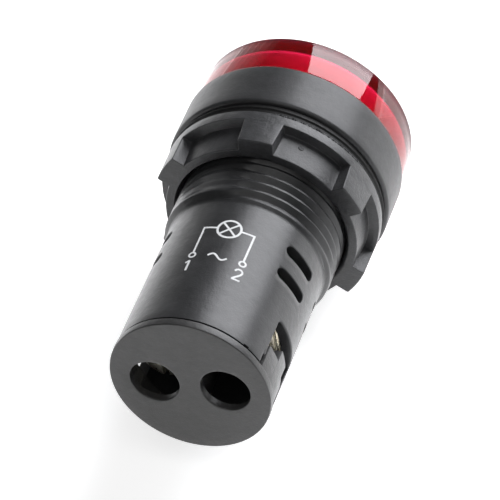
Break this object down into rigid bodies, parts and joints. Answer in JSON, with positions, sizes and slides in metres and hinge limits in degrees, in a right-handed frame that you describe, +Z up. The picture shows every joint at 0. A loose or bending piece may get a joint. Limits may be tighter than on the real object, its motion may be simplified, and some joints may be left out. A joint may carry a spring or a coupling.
{
  "type": "panel indicator lamp",
  "caption": "Round panel-mount LED indicator lamp with a red lens, a threaded barrel with lobed nut and gasket, a vented tube and screw terminals under a rear cap.",
  "frame": {"origin": "on the lamp's axis, in the plane of the bezel's rear face, where the bezel seats on the gasket and panel", "axes": "+Y along the lamp's axis towards the terminals at the rear, lens facing -Y, +Z up, +X to the right seen from the lens side"},
  "size_m": [0.029, 0.0485, 0.029],
  "materials": {
    "housing_plastic": "satin moulded black",
    "lens_red": "clear red, polished",
    "seal_rubber": "matt",
    "reflector_white": "white moulded",
    "diffuser_frosted": "frosted",
    "circuit_board": "green solder mask",
    "chip_phosphor": "white package with a resin window",
    "capacitor_yellow": "moulded box",
    "capacitor_sleeve": "shrunk sleeve",
    "chip_black": "epoxy package",
    "resistor_body": "lacquered",
    "varistor_blue": "dipped epoxy",
    "pin_brass": "plated",
    "cap_plastic": "fine matt texture",
    "terminal_brass": "nickel-flashed, serrated",
    "screw_steel": "zinc plated",
    "gasket_rubber": "matt",
    "nut_plastic": "satin moulded black"
  },
  "bodies": {
    "housing": {"housing": "housing_plastic", "lens": "lens_red", "lens_seal": "seal_rubber", "reflector": "reflector_white", "diffuser": "diffuser_frosted", "led_board": "circuit_board", "led_chips": "chip_phosphor", "driver_board": "circuit_board", "dropper_capacitor": "capacitor_yellow", "smoothing_capacitor": "capacitor_sleeve", "bridge_rectifier": "chip_black", "dropper_resistors": "resistor_body", "surge_varistor": "varistor_blue", "board_link_pins": "pin_brass", "rear_cap": "cap_plastic", "left_terminal_plate": "terminal_brass", "right_terminal_plate": "terminal_brass"},
    "gasket": {"panel_gasket": "gasket_rubber"},
    "nut": {"mounting_nut": "nut_plastic"},
    "left_washer": {"left_clamp_washer": "screw_steel"},
    "left_screw": {"left_terminal_screw": "screw_steel"},
    "right_washer": {"right_clamp_washer": "screw_steel"},
    "right_screw": {"right_terminal_screw": "screw_steel"}
  },
  "joints": [
    {"name": "nut_turn", "type": "hinge", "parent": "housing", "child": "gasket", "pos_m": [0, 0, 0], "axis": [0, 1, 0], "range_deg": [0, 1800]},
    {"name": "nut_travel", "type": "slide", "parent": "gasket", "child": "nut", "axis": [0, 1, 0], "range_m": [0, 0.00751]},
    {"name": "left_washer_travel", "type": "slide", "parent": "housing", "child": "left_washer", "axis": [0, 1, 0], "range_m": [-0.0003, 0.0032]},
    {"name": "left_screw_turn", "type": "hinge", "parent": "left_washer", "child": "left_screw", "pos_m": [-0.00445, 0.027, 0], "axis": [0, 1, 0], "range_deg": [-216.5, 2304.5]},
    {"name": "right_washer_travel", "type": "slide", "parent": "housing", "child": "right_washer", "axis": [0, 1, 0], "range_m": [-0.00295, 0.00055]},
    {"name": "right_screw_turn", "type": "hinge", "parent": "right_washer", "child": "right_screw", "pos_m": [0.00445, 0.027, 0], "axis": [0, 1, 0], "range_deg": [-2124.5, 396.5]}
  ],
  "couplings": [
    {"joint": "nut_travel", "follows": "nut_turn", "m_per_rad": 0.00023873},
    {"joint": "left_screw_turn", "follows": "left_washer_travel", "rad_per_m": 12566},
    {"joint": "right_screw_turn", "follows": "right_washer_travel", "rad_per_m": 12566}
  ]
}
